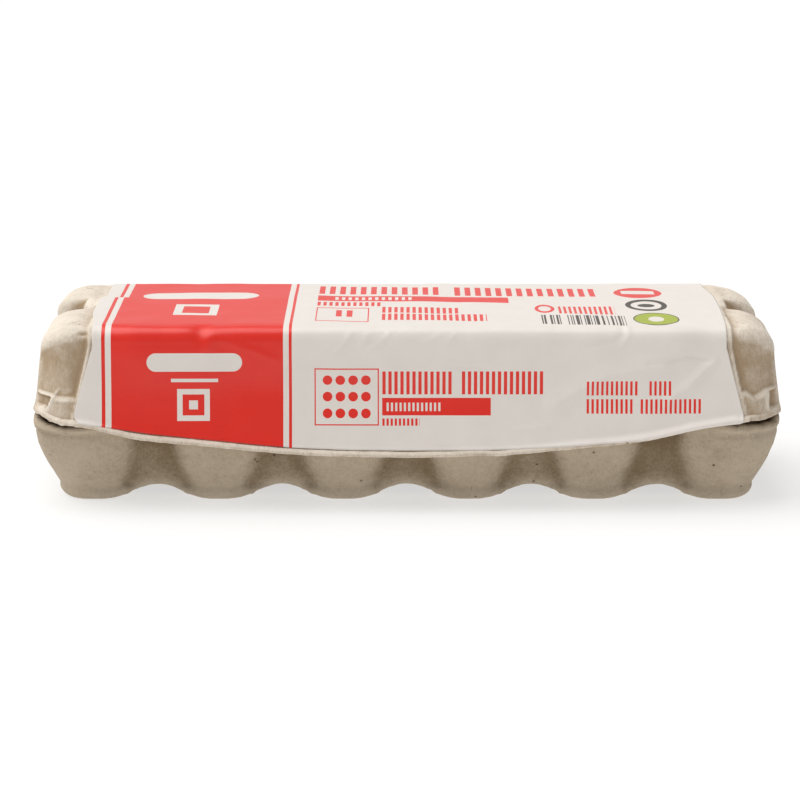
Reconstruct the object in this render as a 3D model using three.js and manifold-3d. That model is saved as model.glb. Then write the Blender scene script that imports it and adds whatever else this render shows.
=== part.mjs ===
// A shut carton for twelve large eggs: a tray and a lid of moulded pulp, and the paper label
// that is glued over the lid.
//
// Millimetres, +Z up. The origin lies on the ground under the middle of the pack. The length
// runs along X, and the front, with the bowed flap that hangs over the tray, faces -Y.

import * as THREE from 'three';
import { LoftGeometry } from 'three/addons/geometries/LoftGeometry.js';
import { mergeVertices } from 'three/addons/utils/BufferGeometryUtils.js';
import Module from 'manifold-3d';

// ---- the pack as a whole ------------------------------------------------------------------

const HALF_LENGTH = 153.2; // from the middle to the rim at each end
const HALF_WIDTH = 53.5; // from the middle to the rim at front and back
const RIM_CORNER = 19; // radius of the rim's corners in plan
const SEAM_Z = 37.6; // height at which lid and tray meet
const PIECE_GAP = 0.3; // clear space between two pieces that touch

// ---- the tray: two rows of six cups under one flat rim --------------------------------------

const CUPS_IN_ROW = 6;
const CUP_PITCH = 51.5;
const CUP_ROW_Y = 25.4;
const CUP_SIDES = 28;

const FOOT_FLAT_RADIUS = 11.6; // the flat that the pack stands on
const FOOT_EDGE = [13.6, 1.7]; // radius and height where the foot's rounded edge ends
const FOOT_TOP = [14.7, 5.2]; // radius and height where the foot ends and the cup begins
const CUP_LEAN = 2.7; // how far a cup's upper end stands out towards the front or back
const CUP_ROUNDNESS = [2.2, 2.8]; // exponent of the plan, foot and rim: 2 is round
const WALL_REACH = 9.9; // how far a wall leans out on its way up
const WALL_TOP_Z = 31;
const WALL_POWER = 1.6; // more than 1: the wall steepens upwards
const WALL_LEVELS = [0.12, 0.28, 0.48, 0.72, 1];

const WEB_SET_BACK = 7; // the webs between the cups stand this far behind the cups
const WEB_CORNER = 12;
const WEB_THICKNESS = 1.6; // at its lower edge
const ARCH_HALF_WIDTH = 12.5; // the arches between the feet
const ARCH_TOP_Z = 5.1;
const HOLLOW_Z = 24; // ceiling of the space under the dividers
const HOLLOW_TAPER = 11; // how far that space narrows on its way up
const POST_RADIUS = [10.5, 5]; // pits under the posts: mouth and top
const POST_TOP_Z = 33;

const FLANGE_THICKNESS = 3.2;
const TRAY_FRONT_SET_BACK = 1.2; // the rim's front stands behind the lid's flap

// ---- the lid --------------------------------------------------------------------------------

const LID_TOP_Z = 73.6; // top of the bare lid beside the label panel
const LID_FLOOR_Z = SEAM_Z + PIECE_GAP / 2;
const LID_START_Z = 21; // the lid's walls are drawn from here, and then cut to the seam
const FRONT_DRAFT = 0.135; // how far the walls lean in, for each millimetre of height
const END_DRAFT = 0.112;
const SIDE_ROUND = [5.8, 5.8]; // rounding between wall and top: how far in, how far up
const END_ROUND = [15.5, 11.5];

const GROOVE_HALF_WIDTH = 13; // the groove between the two lobes of each end
const GROOVE_DEPTH = 11.5; // at the top: it runs out at the seam
const GROOVE_ROUND = 5;

const PANEL_RISE = 1; // the raised panel that carries the label
const PANEL_TOP_HALF = 130.3;
const PANEL_START_HALF = 141.2; // at the height where the walls start
const RIDGE_Z = 67; // above this the sides of panel and label run straight back

const FLAP_MIDDLE_Z = 23.2; // lower edge of the flap: its middle, and where it runs out
const FLAP_END_X = 131.4;
const FLAP_INNER_Y = -HALF_WIDTH + TRAY_FRONT_SET_BACK - PIECE_GAP;
const BOW_SHARE = 0.7; // the rest of the bow grows with the fourth power, so its ends steepen
const BOW_STEPS = 32;

const HINGE_RADIUS = 2.2; // the folded strip along the back
const HINGE_Y = HALF_WIDTH + 1.14;
const HINGE_HALF_LENGTH = 131;

// ---- the label ------------------------------------------------------------------------------

const LABEL_THICKNESS = 0.45;
const LABEL_SHIFT_X = 1; // the label is glued on a little to the right
const LABEL_TOP_HALF = 128.6;
const LABEL_FLAP_HALF = 135.6;
const LABEL_MIDDLE_Z = 25.8; // lower edge of the label on the front: middle and ends
const LABEL_END_Z = 39.6;
const LABEL_BACK_Z = 44; // lower edge of the label on the back

// ---- joining and cutting --------------------------------------------------------------------

const wasm = await Module();
wasm.setup();

function toSolid(geometry) {
    const bare = new THREE.BufferGeometry();
    bare.setAttribute('position', geometry.attributes.position);
    bare.setIndex(geometry.index);
    const merged = mergeVertices(bare, 1e-4);
    return new wasm.Manifold(new wasm.Mesh({
        numProp: 3,
        vertProperties: merged.attributes.position.array,
        triVerts: new Uint32Array(merged.index.array),
    }));
}

function toMesh(name, solid, color, roughness) {
    const { vertProperties, triVerts } = solid.getMesh();
    const geometry = new THREE.BufferGeometry();
    geometry.setAttribute('position', new THREE.BufferAttribute(vertProperties, 3));
    geometry.setIndex(new THREE.BufferAttribute(triVerts, 1));
    geometry.computeVertexNormals();
    const material = new THREE.MeshStandardMaterial({ color, roughness, metalness: 0 });
    const mesh = new THREE.Mesh(geometry, material);
    mesh.name = name;
    return mesh;
}

// A closed form through rings of points, from the lowest ring to the highest.
function loft(rings) {
    return toSolid(new LoftGeometry(rings, { capStart: true, capEnd: true }));
}

// A block between two corners.
function block(low, high) {
    const size = high.map((value, axis) => value - low[axis]);
    const geometry = new THREE.BoxGeometry(...size);
    geometry.translate(...low.map((value, axis) => value + size[axis] / 2));
    return toSolid(geometry);
}

// An outline drawn in X and Z, drawn out from yFrom to yTo, then turned about Z.
function prismAlongY(shape, yFrom, yTo, turn = 0) {
    const depth = yTo - yFrom;
    const geometry = new THREE.ExtrudeGeometry(shape, { depth, bevelEnabled: false });
    geometry.rotateX(Math.PI / 2);
    geometry.translate(0, yTo, 0);
    geometry.rotateZ(turn);
    return toSolid(geometry);
}

// A ring of points round a rectangle with round corners, counterclockwise from above.
function roundedRing(halfX, front, back, corner, z) {
    const cornerSteps = 7;
    const ring = [];
    for (let quarter = 0; quarter < 4; quarter += 1) {
        for (let step = 0; step <= cornerSteps; step += 1) {
            const angle = (quarter + step / cornerSteps) * Math.PI / 2;
            const centreX = (quarter === 0 || quarter === 3 ? 1 : -1) * (halfX - corner);
            const centreY = quarter < 2 ? back - corner : front + corner;
            ring.push(new THREE.Vector3(
                centreX + corner * Math.cos(angle), centreY + corner * Math.sin(angle), z,
            ));
        }
    }
    return ring;
}

// ---- the tray -------------------------------------------------------------------------------

// How far a wall has leaned out at a share of its height, as a share of its whole reach.
function leanShare(level) {
    return 1 - (1 - level) ** WALL_POWER;
}

function wallZ(level) {
    return THREE.MathUtils.lerp(FOOT_TOP[1], WALL_TOP_Z, level);
}

function cupRing(cupX, cupY, radius, z, lean) {
    const roundness = THREE.MathUtils.lerp(...CUP_ROUNDNESS, z / WALL_TOP_Z);
    const centreY = cupY + Math.sign(cupY) * CUP_LEAN * lean;
    const ring = [];
    for (let side = 0; side < CUP_SIDES; side += 1) {
        const along = Math.cos(2 * Math.PI * side / CUP_SIDES);
        const across = Math.sin(2 * Math.PI * side / CUP_SIDES);
        const x = cupX + radius * Math.sign(along) * Math.abs(along) ** (2 / roundness);
        const y = centreY + radius * Math.sign(across) * Math.abs(across) ** (2 / roundness);
        ring.push(new THREE.Vector3(x, y, z));
    }
    return ring;
}

function makeCup(cupX, cupY) {
    const rings = [
        cupRing(cupX, cupY, FOOT_FLAT_RADIUS, 0, 0),
        cupRing(cupX, cupY, ...FOOT_EDGE, 0),
        cupRing(cupX, cupY, ...FOOT_TOP, 0),
    ];
    for (const level of WALL_LEVELS) {
        const lean = leanShare(level);
        rings.push(cupRing(cupX, cupY, FOOT_TOP[0] + WALL_REACH * lean, wallZ(level), lean));
    }
    rings.push(cupRing(cupX, cupY, FOOT_TOP[0] + WALL_REACH + 1, SEAM_Z, 1));
    return loft(rings);
}

// The arch under a web, between two feet, drawn in X and Z round x = 0.
function archShape(x) {
    const footZ = FOOT_EDGE[1];
    const shape = new THREE.Shape();
    shape.moveTo(x - ARCH_HALF_WIDTH, -1);
    shape.lineTo(x + ARCH_HALF_WIDTH, -1);
    shape.lineTo(x + ARCH_HALF_WIDTH, footZ);
    shape.quadraticCurveTo(x, 2 * ARCH_TOP_Z - footZ, x - ARCH_HALF_WIDTH, footZ);
    return shape;
}

// The walls that close the gaps between the outer cups, and the dividers' solid core.
function makeWebs() {
    const footX = CUP_PITCH * (CUPS_IN_ROW - 1) / 2 + FOOT_TOP[0] - WEB_SET_BACK;
    const footY = CUP_ROW_Y + FOOT_TOP[0] - WEB_SET_BACK;
    const ring = (grow, lean, z) => {
        const halfY = footY + grow + CUP_LEAN * lean;
        return roundedRing(footX + grow, -halfY, halfY, WEB_CORNER, z);
    };
    const outer = [ring(0, 0, FOOT_EDGE[1] / 2), ring(0, 0, FOOT_TOP[1])];
    for (const level of WALL_LEVELS) {
        const lean = leanShare(level);
        outer.push(ring(WALL_REACH * lean, lean, wallZ(level)));
    }
    outer.push(ring(WALL_REACH + 1, 1, SEAM_Z));
    const space = [ring(-WEB_THICKNESS, 0, -1), ring(-WEB_THICKNESS - HOLLOW_TAPER, 0, HOLLOW_Z)];
    let webs = loft(outer).subtract(loft(space));

    const profile = [
        [0, HOLLOW_Z - 1], [POST_RADIUS[0], HOLLOW_Z - 1], [POST_RADIUS[1], POST_TOP_Z],
        [0, POST_TOP_Z],
    ];
    for (let gap = 1; gap < CUPS_IN_ROW; gap += 1) {
        const gapX = (gap - CUPS_IN_ROW / 2) * CUP_PITCH;
        const pit = new THREE.LatheGeometry(profile.map(([r, z]) => new THREE.Vector2(r, z)), 16);
        pit.rotateX(Math.PI / 2);
        pit.translate(gapX, 0, 0);
        webs = webs.subtract(toSolid(pit));
        webs = webs.subtract(prismAlongY(archShape(gapX), -HALF_WIDTH, HALF_WIDTH));
    }
    return webs.subtract(prismAlongY(archShape(0), -HALF_LENGTH, HALF_LENGTH, Math.PI / 2));
}

function makeTray() {
    const topZ = SEAM_Z - PIECE_GAP / 2;
    const rimRing = (z) => roundedRing(
        HALF_LENGTH, -HALF_WIDTH + TRAY_FRONT_SET_BACK, HALF_WIDTH, RIM_CORNER, z,
    );
    let tray = makeWebs().add(loft([rimRing(topZ - FLANGE_THICKNESS), rimRing(topZ)]));
    for (let cup = 0; cup < CUPS_IN_ROW; cup += 1) {
        const cupX = (cup - (CUPS_IN_ROW - 1) / 2) * CUP_PITCH;
        tray = tray.add(makeCup(cupX, -CUP_ROW_Y)).add(makeCup(cupX, CUP_ROW_Y));
    }
    return tray.intersect(loft([rimRing(-1), rimRing(topZ)]));
}

// ---- the lid --------------------------------------------------------------------------------

// Points round the lid's rim, counterclockwise from above, each with its outward direction.
function rimStations() {
    const cornerX = HALF_LENGTH - RIM_CORNER;
    const cornerY = HALF_WIDTH - RIM_CORNER;
    const cornerSteps = 8;
    const grooveSteps = 12;
    const endStops = [-cornerY, -(cornerY + GROOVE_HALF_WIDTH) / 2];
    for (let step = 0; step <= grooveSteps; step += 1) {
        endStops.push(GROOVE_HALF_WIDTH * (2 * step / grooveSteps - 1));
    }
    endStops.push((cornerY + GROOVE_HALF_WIDTH) / 2);

    const half = [];
    for (const y of endStops) half.push({ x: HALF_LENGTH, y, outX: 1, outY: 0 });
    for (let step = 0; step <= cornerSteps; step += 1) {
        const outX = Math.cos(Math.PI / 2 * step / cornerSteps);
        const outY = Math.sin(Math.PI / 2 * step / cornerSteps);
        half.push({ x: cornerX + RIM_CORNER * outX, y: cornerY + RIM_CORNER * outY, outX, outY });
    }
    for (let step = 0; step < cornerSteps; step += 1) {
        const outX = -Math.sin(Math.PI / 2 * step / cornerSteps);
        const outY = Math.cos(Math.PI / 2 * step / cornerSteps);
        half.push({ x: RIM_CORNER * outX - cornerX, y: cornerY + RIM_CORNER * outY, outX, outY });
    }
    const turned = half.map(({ x, y, outX, outY }) => ({ x: -x, y: -y, outX: -outX, outY: -outY }));
    return [...half, ...turned];
}

// One point of the lid's skin at a station, grown outwards by an offset. The walls run from
// level 0 to 1, and the rounding into the top from level 1 to 2.
function skinPoint(station, level, offset) {
    const endShare = station.outX ** 2;
    const groove = Math.abs(station.y) < GROOVE_HALF_WIDTH && endShare > 0.99
        ? Math.cos(Math.PI / 2 * station.y / GROOVE_HALF_WIDTH) ** 2
        : 0;
    const roundIn = THREE.MathUtils.lerp(
        THREE.MathUtils.lerp(SIDE_ROUND[0], END_ROUND[0], endShare), GROOVE_ROUND, groove,
    );
    const roundUp = THREE.MathUtils.lerp(SIDE_ROUND[1], END_ROUND[1], endShare);
    const draft = THREE.MathUtils.lerp(FRONT_DRAFT, END_DRAFT, endShare);
    const shoulderZ = LID_TOP_Z - roundUp;

    const flankZ = THREE.MathUtils.lerp(LID_START_Z, shoulderZ, Math.min(level, 1));
    const angle = Math.max(level - 1, 0) * Math.PI / 2;
    const facing = new THREE.Vector2(roundUp * Math.cos(angle), roundIn * Math.sin(angle));
    facing.normalize();

    const z = flankZ + roundUp * Math.sin(angle) + offset * facing.y;
    const grooveIn = GROOVE_DEPTH * groove * THREE.MathUtils.smoothstep(z, SEAM_Z - 4, shoulderZ);
    const inward = draft * (flankZ - SEAM_Z) + roundIn * (1 - Math.cos(angle)) + grooveIn;
    const out = offset * facing.x - inward;
    return new THREE.Vector3(station.x + station.outX * out, station.y + station.outY * out, z);
}

// The whole closed form of the lid, grown outwards by an offset.
function lidForm(offset) {
    const wallLevels = [0, 0.35, 0.55, 0.78, 1];
    const roundLevels = [1.17, 1.34, 1.5, 1.67, 1.84, 2];
    const stations = rimStations();
    const sections = [...wallLevels, ...roundLevels].map(
        (level) => stations.map((station) => skinPoint(station, level, offset)),
    );
    return loft(sections);
}

// Height of a bowed edge, lowest in the middle and steepening towards its ends.
function bowZ(x, middleZ, endX, endZ) {
    const reach = (x / endX) ** 2;
    return middleZ + (endZ - middleZ) * (BOW_SHARE * reach + (1 - BOW_SHARE) * reach ** 2);
}

// An outline in X and Z: a bowed lower edge, sides that lean in up to the ridge, and above.
function wrapShape(middleX, lowHalf, lowMiddleZ, lowEndZ, topHalf) {
    const shape = new THREE.Shape();
    for (let step = 0; step <= BOW_STEPS; step += 1) {
        const x = lowHalf * (2 * step / BOW_STEPS - 1);
        const z = bowZ(x, lowMiddleZ, lowHalf, lowEndZ);
        if (step === 0) shape.moveTo(middleX + x, z);
        else shape.lineTo(middleX + x, z);
    }
    shape.lineTo(middleX + topHalf, RIDGE_Z);
    shape.lineTo(middleX + topHalf, LID_TOP_Z + 5);
    shape.lineTo(middleX - topHalf, LID_TOP_Z + 5);
    shape.lineTo(middleX - topHalf, RIDGE_Z);
    return shape;
}

// What is cut away in front of the tray, under the flap.
function belowFlap() {
    const shape = new THREE.Shape();
    const endX = HALF_LENGTH + 5;
    shape.moveTo(-endX, LID_START_Z - 5);
    shape.lineTo(endX, LID_START_Z - 5);
    shape.lineTo(endX, LID_FLOOR_Z);
    for (let step = 0; step <= BOW_STEPS; step += 1) {
        const x = FLAP_END_X * (1 - 2 * step / BOW_STEPS);
        shape.lineTo(x, bowZ(x, FLAP_MIDDLE_Z, FLAP_END_X, LID_FLOOR_Z));
    }
    shape.lineTo(-endX, LID_FLOOR_Z);
    return prismAlongY(shape, -HALF_WIDTH - 10, 0);
}

function makeLid() {
    const panelShape = wrapShape(
        0, PANEL_START_HALF, LID_START_Z, LID_START_Z, PANEL_TOP_HALF,
    );
    const panel = lidForm(PANEL_RISE).intersect(
        prismAlongY(panelShape, -HALF_WIDTH - 10, HALF_WIDTH + 10),
    );
    const hinge = new THREE.CylinderGeometry(
        HINGE_RADIUS, HINGE_RADIUS, 2 * HINGE_HALF_LENGTH, 12,
    );
    hinge.rotateZ(Math.PI / 2);
    hinge.translate(0, HINGE_Y, LID_FLOOR_Z + HINGE_RADIUS);

    const overTray = block(
        [-HALF_LENGTH - 10, FLAP_INNER_Y, LID_START_Z - 10],
        [HALF_LENGTH + 10, HALF_WIDTH + 10, LID_FLOOR_Z],
    );
    return lidForm(0).add(panel).add(toSolid(hinge)).subtract(overTray).subtract(belowFlap());
}

// ---- the label ------------------------------------------------------------------------------

function makeLabel() {
    const innerOffset = PANEL_RISE + PIECE_GAP;
    const sheet = lidForm(innerOffset + LABEL_THICKNESS).subtract(lidForm(innerOffset));
    const frontShape = wrapShape(
        LABEL_SHIFT_X, LABEL_FLAP_HALF, LABEL_MIDDLE_Z, LABEL_END_Z, LABEL_TOP_HALF,
    );
    const backShape = wrapShape(
        LABEL_SHIFT_X, LABEL_FLAP_HALF, LABEL_BACK_Z, LABEL_BACK_Z, LABEL_TOP_HALF,
    );
    const front = prismAlongY(frontShape, -HALF_WIDTH - 10, 1);
    const back = prismAlongY(backShape, 0, HALF_WIDTH + 10);
    return sheet.intersect(front.add(back));
}

// ---- the carton -----------------------------------------------------------------------------

const carton = new THREE.Group();
carton.add(toMesh('tray', makeTray(), 0x9d8d7a, 0.95));
carton.add(toMesh('lid', makeLid(), 0xc9baa8, 0.95));
carton.add(toMesh('label', makeLabel(), 0xe4dcd4, 0.45));

export default carton;
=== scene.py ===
import math

import bmesh
import bpy
import numpy as np
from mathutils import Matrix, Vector, noise


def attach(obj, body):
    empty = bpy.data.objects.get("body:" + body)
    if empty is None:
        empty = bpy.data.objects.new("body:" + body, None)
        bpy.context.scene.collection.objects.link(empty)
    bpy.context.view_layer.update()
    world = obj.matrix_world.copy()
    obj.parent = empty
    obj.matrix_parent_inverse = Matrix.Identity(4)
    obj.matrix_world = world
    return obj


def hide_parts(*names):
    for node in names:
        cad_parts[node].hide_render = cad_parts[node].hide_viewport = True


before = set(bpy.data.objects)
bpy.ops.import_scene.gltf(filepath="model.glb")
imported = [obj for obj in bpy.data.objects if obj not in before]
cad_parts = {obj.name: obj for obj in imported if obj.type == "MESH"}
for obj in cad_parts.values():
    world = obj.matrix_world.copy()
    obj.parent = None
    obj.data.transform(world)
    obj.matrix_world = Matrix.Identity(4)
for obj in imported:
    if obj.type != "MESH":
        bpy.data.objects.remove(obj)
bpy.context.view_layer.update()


# ---- Camera ---------------------------------------------------------------------------------
# A long lens well back from the pack, straight in front of it and a little above, so the
# long sides run almost level and the top is seen at a flat angle.

MM = 0.001  # one millimetre, in metres
CAMERA_AIM = Vector((0, 0, 35 * MM))
CAMERA_DISTANCE = 1260 * MM
CAMERA_RISE = math.radians(13.1)

scene = bpy.context.scene
camera_data = bpy.data.cameras.new("camera")
camera_data.sensor_width = 36
camera_data.lens = 134.2
camera_data.shift_x = -0.0080
camera_data.shift_y = -0.0051
camera_data.clip_end = 20
camera = bpy.data.objects.new("camera", camera_data)
scene.collection.objects.link(camera)
camera.location = CAMERA_AIM + CAMERA_DISTANCE * Vector(
    (0, -math.cos(CAMERA_RISE), math.sin(CAMERA_RISE))
)
camera.rotation_euler = (math.radians(90) - CAMERA_RISE, 0, 0)
scene.camera = camera


# ---- Tray -----------------------------------------------------------------------------------
# The lower half of the pack: grey-beige pulp of old newsprint, sucked from a slurry onto a
# wire mould and dried. Two rows of six cups hang from one rim, with hollow webs between them,
# and every crease where a cup meets a web is filled softly by the pulp.

# Sizes without MM in them are in millimetres, here and in the sections below.
PULP_GRAIN = 1.13 * MM  # the tray's skin is worked out to this fineness
CREASE_ROUNDS = 12  # rounds of filling, each of which reaches one grain further
FOOT_Z = 7.0  # the feet below this keep their shape
RIM_START_Z = 29.5  # and so does the rim above this
TRAY_HALF_LENGTH = 152.0
TRAY_HALF_WIDTH = 52.3
RIM_ROUND = 18.0  # radius of the rim's corners, seen from above
CUP_X = (25.75, 77.25, 128.75)  # the cups' middles, on both sides
CUP_Y = 25.4
FOOT_FLARE = 1.0  # how far the edge of a foot stands out

END_START_X = 118.0  # from here to the ends the rim lies lower and its edge is torn
END_FADE = 16.0  # and this far on it is so in full
RIM_FLARE_LEFT = 2.5  # how far the torn rim spreads at the front corners
RIM_FLARE_RIGHT = 1.4
RIM_TEAR = 0.6  # how ragged its edge is
GAP_DEPTH = 4.0  # how deep the rim is hollowed behind its edge, so the gap above it is dark


def ramp(value, low, high):
    """0 up to low, 1 from high on, with a soft start and end."""
    share = min(max((value - low) / (high - low), 0.0), 1.0)
    return share * share * (3 - 2 * share)


def roughness_at(x, y, z, size, seed=0.0):
    """A lump between about -1 and 1 that is size millimetres across."""
    return noise.noise(Vector((x / size + seed, y / size - seed, z / size + 2 * seed)))


def vertex_rows(mesh, what):
    """The places ("co") or the normals ("normal") of a mesh's vertices, one a row."""
    values = np.empty(len(mesh.vertices) * 3)
    mesh.vertices.foreach_get(what, values)
    return values.reshape(-1, 3)


def filled_creases(mesh, rounds, hollow_share, ridge_share):
    """The vertices' places, in metres, once hollow creases have filled with pulp. The shares
    say how much of each crease and of each ridge goes in one round."""
    count = len(mesh.vertices)
    places = vertex_rows(mesh, "co")
    normals = vertex_rows(mesh, "normal")
    ends = np.empty(len(mesh.edges) * 2, dtype=np.int64)
    mesh.edges.foreach_get("vertices", ends)
    first = ends[0::2]
    second = ends[1::2]
    valence = np.bincount(first, minlength=count) + np.bincount(second, minlength=count)
    for _ in range(rounds):
        around = np.empty_like(places)
        for axis in range(3):
            around[:, axis] = (
                np.bincount(first, weights=places[second, axis], minlength=count)
                + np.bincount(second, weights=places[first, axis], minlength=count)
            )
        move = around / valence[:, None] - places
        hollow = np.einsum("ij,ij->i", move, normals) > 0
        share = np.where(hollow, hollow_share, ridge_share)
        places = places + move * share[:, None]
    return places


def paint_hollow_shade(mesh, rounds, full_depth, steep, level):
    """Keeps, as an attribute, painted shade and painted light: how deep each point of a mesh
    lies in a hollow, 1 at the full depth, in metres, and down to -0.5 on a ridge, so that
    hollows are painted darker and ridges lighter. One share of painted shade is added on steep
    walls, and another share on level places, which paints them lighter when it is negative."""
    normals = vertex_rows(mesh, "normal")
    evened = filled_creases(mesh, rounds, hollow_share=0.75, ridge_share=0.75)
    sunk = evened - vertex_rows(mesh, "co")
    depth = np.einsum("ij,ij->i", sunk, normals) / full_depth
    depth = np.clip(depth, -0.5, 1.0)
    # Steep walls take their share as painted shade, and level places theirs, as painted light
    # when it is negative.
    rise = np.clip((normals[:, 2] - 0.05) / 0.9, 0, 1)
    depth += steep * (1 - rise) * np.clip(1 + 2 * depth, 0, 1) + level * rise
    attribute = mesh.attributes.new("hollow", "FLOAT", "POINT")
    attribute.data.foreach_set("value", np.clip(depth, -0.5, 1.0))


def linear(colour):
    """An sRGB hex colour as Blender's linear red, green, blue and alpha."""
    channels = [int(colour[place:place + 2], 16) / 255 for place in (1, 3, 5)]
    bent = [c / 12.92 if c <= 0.04045 else ((c + 0.055) / 1.055) ** 2.4 for c in channels]
    return (*bent, 1.0)


def add_node(tree, kind, settings, inputs):
    """Adds a node, with its settings, and with each input set or linked."""
    node = tree.nodes.new(kind)
    for name, value in settings.items():
        setattr(node, name, value)
    for socket, value in inputs.items():
        if isinstance(value, bpy.types.NodeSocket):
            tree.links.new(value, node.inputs[socket])
        else:
            node.inputs[socket].default_value = value
    return node


def moulded_pulp(name, pale, deep, fleck):
    """Moulded newsprint pulp: matt, clouded where the slurry lay thicker, with painted shade in
    its hollows and on steep walls and painted light on its ridges and level places, flecked with
    ink and bark, and covered in a nap of short fibres that breaks up the light."""
    material = bpy.data.materials.new(name)
    material.use_nodes = True
    tree = material.node_tree
    tree.nodes.clear()
    place = add_node(tree, "ShaderNodeTexCoord", {}, {}).outputs["Object"]

    # Clouds of 16 mm, a mottle of 2.4 mm, and short upright streaks of fibre.
    clouds = add_node(tree, "ShaderNodeTexNoise", {}, {
        "Vector": place, "Scale": 1 / (16 * MM), "Detail": 3, "Roughness": 0.55,
    })
    mottle = add_node(tree, "ShaderNodeTexNoise", {}, {
        "Vector": place, "Scale": 1 / (2.4 * MM), "Detail": 4, "Roughness": 0.7,
    })
    upright = add_node(tree, "ShaderNodeMapping", {}, {
        "Vector": place, "Scale": (1 / (0.8 * MM), 1 / (0.8 * MM), 1 / (2.2 * MM)),
    })
    streaks = add_node(tree, "ShaderNodeTexNoise", {}, {
        "Vector": upright.outputs[0], "Scale": 1.0, "Detail": 3, "Roughness": 0.65,
    })
    # The hollow attribute is painted shade in hollows and on steep walls, and painted light on
    # ridges and level places.
    hollow = add_node(tree, "ShaderNodeAttribute", {"attribute_name": "hollow"}, {})
    # The sum of the three patterns and the painted shade and light of the hollows runs from the
    # pale tone to the deep one.
    tone = -0.22
    for pattern, weight in ((clouds, 0.7), (mottle, 0.65), (streaks, 0.6), (hollow, 1.0)):
        tone = add_node(tree, "ShaderNodeMath", {"operation": "MULTIPLY_ADD"}, {
            0: pattern.outputs["Fac"], 1: weight, 2: tone,
        }).outputs[0]
    tone = add_node(tree, "ShaderNodeMapRange", {"interpolation_type": "SMOOTHSTEP"}, {
        "Value": tone, "From Min": -0.05, "From Max": 1.35,
    })
    colour = add_node(tree, "ShaderNodeMix", {"data_type": "RGBA"}, {
        "Factor": tone.outputs[0], 6: linear(pale), 7: linear(deep),
    })

    # Flecks of bark and ink, in three cells in ten of a 6 mm scatter. They are drawn up to
    # 1.3 mm across, coarser than most real ones, so that they show.
    fleck_cell = 6 * MM
    fleck_radius = 0.66 * MM
    scatter = add_node(tree, "ShaderNodeTexVoronoi", {}, {
        "Vector": place, "Scale": 1 / fleck_cell, "Randomness": 1.0,
    })
    small = add_node(tree, "ShaderNodeMath", {"operation": "LESS_THAN"}, {
        0: scatter.outputs["Distance"], 1: fleck_radius / fleck_cell,
    })
    chosen = add_node(tree, "ShaderNodeSeparateColor", {}, {"Color": scatter.outputs["Color"]})
    chosen = add_node(tree, "ShaderNodeMath", {"operation": "GREATER_THAN"}, {
        0: chosen.outputs[0], 1: 0.7,
    })
    flecked = add_node(tree, "ShaderNodeMath", {"operation": "MULTIPLY"}, {
        0: small.outputs[0], 1: chosen.outputs[0],
    })
    # Single hairs, drawn about 0.6 mm thick and 5 mm long so that they show, where the peaks
    # of a drawn-out noise are.
    along = add_node(tree, "ShaderNodeMapping", {}, {
        "Vector": place, "Rotation": (0.5, 0.3, 0.2), "Scale": (1.8 / MM, 1.5 / MM, 0.19 / MM),
    })
    hairs = add_node(tree, "ShaderNodeTexNoise", {}, {
        "Vector": along.outputs[0], "Scale": 1.0, "Detail": 1, "Roughness": 0.4,
    })
    hairs = add_node(tree, "ShaderNodeMapRange", {}, {
        "Value": hairs.outputs["Fac"], "From Min": 0.72, "From Max": 0.78, "To Max": 0.45,
    })
    marks = add_node(tree, "ShaderNodeMath", {"operation": "MULTIPLY_ADD"}, {
        0: flecked.outputs[0], 1: 0.7, 2: hairs.outputs[0],
    })
    marks = add_node(tree, "ShaderNodeMath", {"operation": "MINIMUM"}, {
        0: marks.outputs[0], 1: 0.9,
    })
    colour = add_node(tree, "ShaderNodeMix", {"data_type": "RGBA"}, {
        "Factor": marks.outputs[0], 6: colour.outputs[2], 7: linear(fleck),
    })

    # The nap of fibres, about 0.9 mm apart, on lumps of 4.5 mm.
    nap = add_node(tree, "ShaderNodeTexNoise", {}, {
        "Vector": place, "Scale": 1 / (0.9 * MM), "Detail": 3, "Roughness": 0.7,
    })
    lumps = add_node(tree, "ShaderNodeTexNoise", {}, {
        "Vector": place, "Scale": 1 / (4.5 * MM), "Detail": 2, "Roughness": 0.5,
    })
    bump = add_node(tree, "ShaderNodeBump", {}, {
        "Height": lumps.outputs["Fac"], "Distance": 1.2 * MM, "Strength": 0.7,
    })
    bump = add_node(tree, "ShaderNodeBump", {}, {
        "Height": nap.outputs["Fac"], "Distance": 0.4 * MM, "Strength": 0.9,
        "Normal": bump.outputs[0],
    })
    shine = add_node(tree, "ShaderNodeMapRange", {}, {
        "Value": mottle.outputs["Fac"], "To Min": 0.82, "To Max": 0.98,
    })
    surface = add_node(tree, "ShaderNodeBsdfPrincipled", {}, {
        "Base Color": colour.outputs[2], "Roughness": shine.outputs[0], "IOR": 1.45,
        "Specular IOR Level": 0.25, "Normal": bump.outputs[0],
    })
    add_node(tree, "ShaderNodeOutputMaterial", {}, {"Surface": surface.outputs[0]})
    return material


tray_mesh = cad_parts["tray"].data.copy()
bm = bmesh.new()
bm.from_mesh(tray_mesh)
bmesh.ops.remove_doubles(bm, verts=bm.verts, dist=0.02 * MM)
bm.to_mesh(tray_mesh)
bm.free()
tray = bpy.data.objects.new("pulp_tray", tray_mesh)
scene.collection.objects.link(tray)
skin = tray.modifiers.new("skin", "REMESH")
skin.mode = "VOXEL"
skin.voxel_size = PULP_GRAIN
skinned = tray.evaluated_get(bpy.context.evaluated_depsgraph_get())
tray.data = bpy.data.meshes.new_from_object(skinned)
tray.modifiers.clear()

heights = vertex_rows(tray.data, "co")[:, 2] / MM
kept = (heights > RIM_START_Z) | (heights < FOOT_Z)
places = filled_creases(
    tray.data, CREASE_ROUNDS,
    hollow_share=np.where(kept, 0.12, 0.75), ridge_share=np.where(kept, 0.08, 0.2),
)
tray.data.vertices.foreach_set("co", places.ravel())
tray.data.update()
# Painted shade in the tray's hollows, and painted light on its ridges and level tops, such as
# the rim.
paint_hollow_shade(tray.data, rounds=150, full_depth=2.8 * MM, steep=0.0, level=-0.4)


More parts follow.
